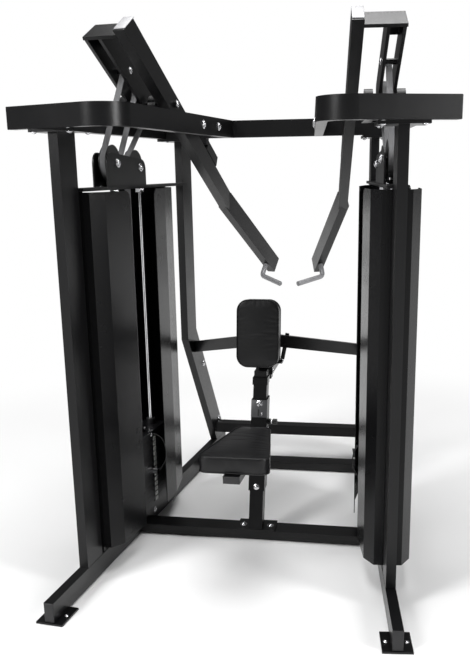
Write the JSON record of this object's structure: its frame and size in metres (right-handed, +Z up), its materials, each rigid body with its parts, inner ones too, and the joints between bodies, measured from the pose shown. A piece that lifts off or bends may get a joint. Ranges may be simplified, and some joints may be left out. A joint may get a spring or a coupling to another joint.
{
  "type": "selectorised seated row machine",
  "caption": "Seated row machine with weight towers on both sides, overhead swing arms driven by belts, an adjustable seat and a chest pad.",
  "frame": {"origin": "floor, at the centre of the machine's footprint", "axes": "+X to the seated user's right, +Y the way the seated user faces, +Z up"},
  "size_m": [1.606, 2.3644, 2.2199],
  "materials": {
    "black_paint": "semi-gloss powder coat",
    "cover_paint": "semi-gloss powder coat on sheet",
    "weight_iron": "black coated iron",
    "chrome": "polished",
    "pulley_nylon": "moulded nylon",
    "belt_rubber": "ribbed grey belt",
    "cushion_rubber": "matt black rubber",
    "lanyard_plastic": "coiled black cord",
    "grip_grey": "grey grip finish",
    "vinyl": "black vinyl, light sheen",
    "knob_plastic": "black knob"
  },
  "bodies": {
    "frame": {"top_crossbeam": "black_paint", "front_crossbar": "black_paint", "rear_crossbars": "black_paint", "pad_brace": "black_paint", "seat_post": "black_paint", "base_rail_left": "black_paint", "front_post_left": "black_paint", "rear_post_left": "black_paint", "tower_top_frame_left": "black_paint", "top_rail_left": "black_paint", "guide_head_left": "black_paint", "guide_rods_left": "chrome", "stack_cushions_left": "cushion_rubber", "front_cover_left": "cover_paint", "rear_cover_left": "cover_paint", "lower_weights_left": "weight_iron", "belt_loop_left": "belt_rubber", "pillow_blocks_left": "black_paint", "stop_bracket_left": "black_paint", "base_rail_right": "black_paint", "front_post_right": "black_paint", "rear_post_right": "black_paint", "tower_top_frame_right": "black_paint", "top_rail_right": "black_paint", "guide_head_right": "black_paint", "guide_rods_right": "chrome", "stack_cushions_right": "cushion_rubber", "front_cover_right": "cover_paint", "rear_cover_right": "cover_paint", "lower_weights_right": "weight_iron", "belt_loop_right": "belt_rubber", "pillow_blocks_right": "black_paint", "stop_bracket_right": "black_paint"},
    "arm_left": {"arm_fork_left": "black_paint", "arm_tube_left": "black_paint", "arm_handle_left": "grip_grey"},
    "stack_left": {"lifted_weights_left": "weight_iron", "lanyard_left": "lanyard_plastic", "belt_stack_run_left": "belt_rubber"},
    "pin_left": {"selector_pin_left": "chrome"},
    "front_pulley_left": {"front_pulley_left": "pulley_nylon"},
    "rear_pulley_left": {"rear_pulley_left": "pulley_nylon"},
    "upper_pulley_left": {"upper_pulley_left": "pulley_nylon"},
    "arm_right": {"arm_fork_right": "black_paint", "arm_tube_right": "black_paint", "arm_handle_right": "grip_grey"},
    "stack_right": {"lifted_weights_right": "weight_iron", "lanyard_right": "lanyard_plastic", "belt_stack_run_right": "belt_rubber"},
    "pin_right": {"selector_pin_right": "chrome"},
    "front_pulley_right": {"front_pulley_right": "pulley_nylon"},
    "rear_pulley_right": {"rear_pulley_right": "pulley_nylon"},
    "upper_pulley_right": {"upper_pulley_right": "pulley_nylon"},
    "seat": {"seat_carriage": "black_paint", "seat_pad": "vinyl"},
    "seat_pin": {"seat_pin": "knob_plastic"},
    "chest_rest": {"pad_carriage": "black_paint", "chest_pad": "vinyl"},
    "pad_lever": {"pad_lever": "black_paint"}
  },
  "joints": [
    {"name": "arm_swing_left", "type": "hinge", "parent": "frame", "child": "arm_left", "pos_m": [-0.53406, -0.08933, 1.932], "axis": [-0.9947, 0.1026, 0], "range_deg": [0, 28]},
    {"name": "stack_lift_left", "type": "slide", "parent": "frame", "child": "stack_left", "axis": [0, 0, 1], "range_m": [0, 0.1], "deforming": ["belt_stack_run_left"]},
    {"name": "pin_pull_left", "type": "slide", "parent": "stack_left", "child": "pin_left", "axis": [0.9947, -0.1026, 0], "range_m": [0, 0.08]},
    {"name": "front_pulley_spin_left", "type": "hinge", "parent": "frame", "child": "front_pulley_left", "pos_m": [-0.56936, -0.43151, 1.683], "axis": [-0.9947, 0.1026, 0], "range_deg": [-90, 90]},
    {"name": "upper_pulley_spin_left", "type": "hinge", "parent": "frame", "child": "upper_pulley_left", "pos_m": [-0.53406, -0.08933, 1.932], "axis": [-0.9947, 0.1026, 0], "range_deg": [-90, 90]},
    {"name": "rear_pulley_spin_left", "type": "hinge", "parent": "frame", "child": "rear_pulley_left", "pos_m": [-0.54586, -0.20372, 1.666], "axis": [-0.9947, 0.1026, 0], "range_deg": [-90, 90]},
    {"name": "arm_swing_right", "type": "hinge", "parent": "frame", "child": "arm_right", "pos_m": [0.53406, -0.08933, 1.932], "axis": [-0.9947, -0.1026, 0], "range_deg": [0, 28]},
    {"name": "stack_lift_right", "type": "slide", "parent": "frame", "child": "stack_right", "axis": [0, 0, 1], "range_m": [0, 0.1], "deforming": ["belt_stack_run_right"]},
    {"name": "pin_pull_right", "type": "slide", "parent": "stack_right", "child": "pin_right", "axis": [-0.9947, -0.1026, 0], "range_m": [0, 0.08]},
    {"name": "front_pulley_spin_right", "type": "hinge", "parent": "frame", "child": "front_pulley_right", "pos_m": [0.56936, -0.43151, 1.683], "axis": [-0.9947, -0.1026, 0], "range_deg": [-90, 90]},
    {"name": "upper_pulley_spin_right", "type": "hinge", "parent": "frame", "child": "upper_pulley_right", "pos_m": [0.53406, -0.08933, 1.932], "axis": [-0.9947, -0.1026, 0], "range_deg": [-90, 90]},
    {"name": "rear_pulley_spin_right", "type": "hinge", "parent": "frame", "child": "rear_pulley_right", "pos_m": [0.54586, -0.20372, 1.666], "axis": [-0.9947, -0.1026, 0], "range_deg": [-90, 90]},
    {"name": "seat_height", "type": "slide", "parent": "frame", "child": "seat", "axis": [0, 0.2873, 0.9578], "range_m": [-0.12, 0.04]},
    {"name": "seat_pin_pull", "type": "slide", "parent": "seat", "child": "seat_pin", "axis": [1, 0, 0], "range_m": [-0.007, 0.012], "stiffness_N_per_m": 800},
    {"name": "chest_pad_reach", "type": "slide", "parent": "frame", "child": "chest_rest", "axis": [0, 1, 0], "range_m": [-0.025, 0.025]},
    {"name": "pad_lever_turn", "type": "hinge", "parent": "frame", "child": "pad_lever", "pos_m": [0.051, 0.1474, 0.73], "axis": [-1, 0, 0], "range_deg": [0, 70]}
  ],
  "couplings": [
    {"joint": "front_pulley_spin_left", "follows": "arm_swing_left", "ratio": 2.9412},
    {"joint": "upper_pulley_spin_left", "follows": "arm_swing_left", "ratio": -2.9412},
    {"joint": "rear_pulley_spin_left", "follows": "arm_swing_left", "ratio": 2.9412},
    {"joint": "stack_lift_left", "follows": "arm_swing_left", "m_per_rad": 0.2},
    {"joint": "front_pulley_spin_right", "follows": "arm_swing_right", "ratio": 2.9412},
    {"joint": "upper_pulley_spin_right", "follows": "arm_swing_right", "ratio": -2.9412},
    {"joint": "rear_pulley_spin_right", "follows": "arm_swing_right", "ratio": 2.9412},
    {"joint": "stack_lift_right", "follows": "arm_swing_right", "m_per_rad": 0.2}
  ]
}
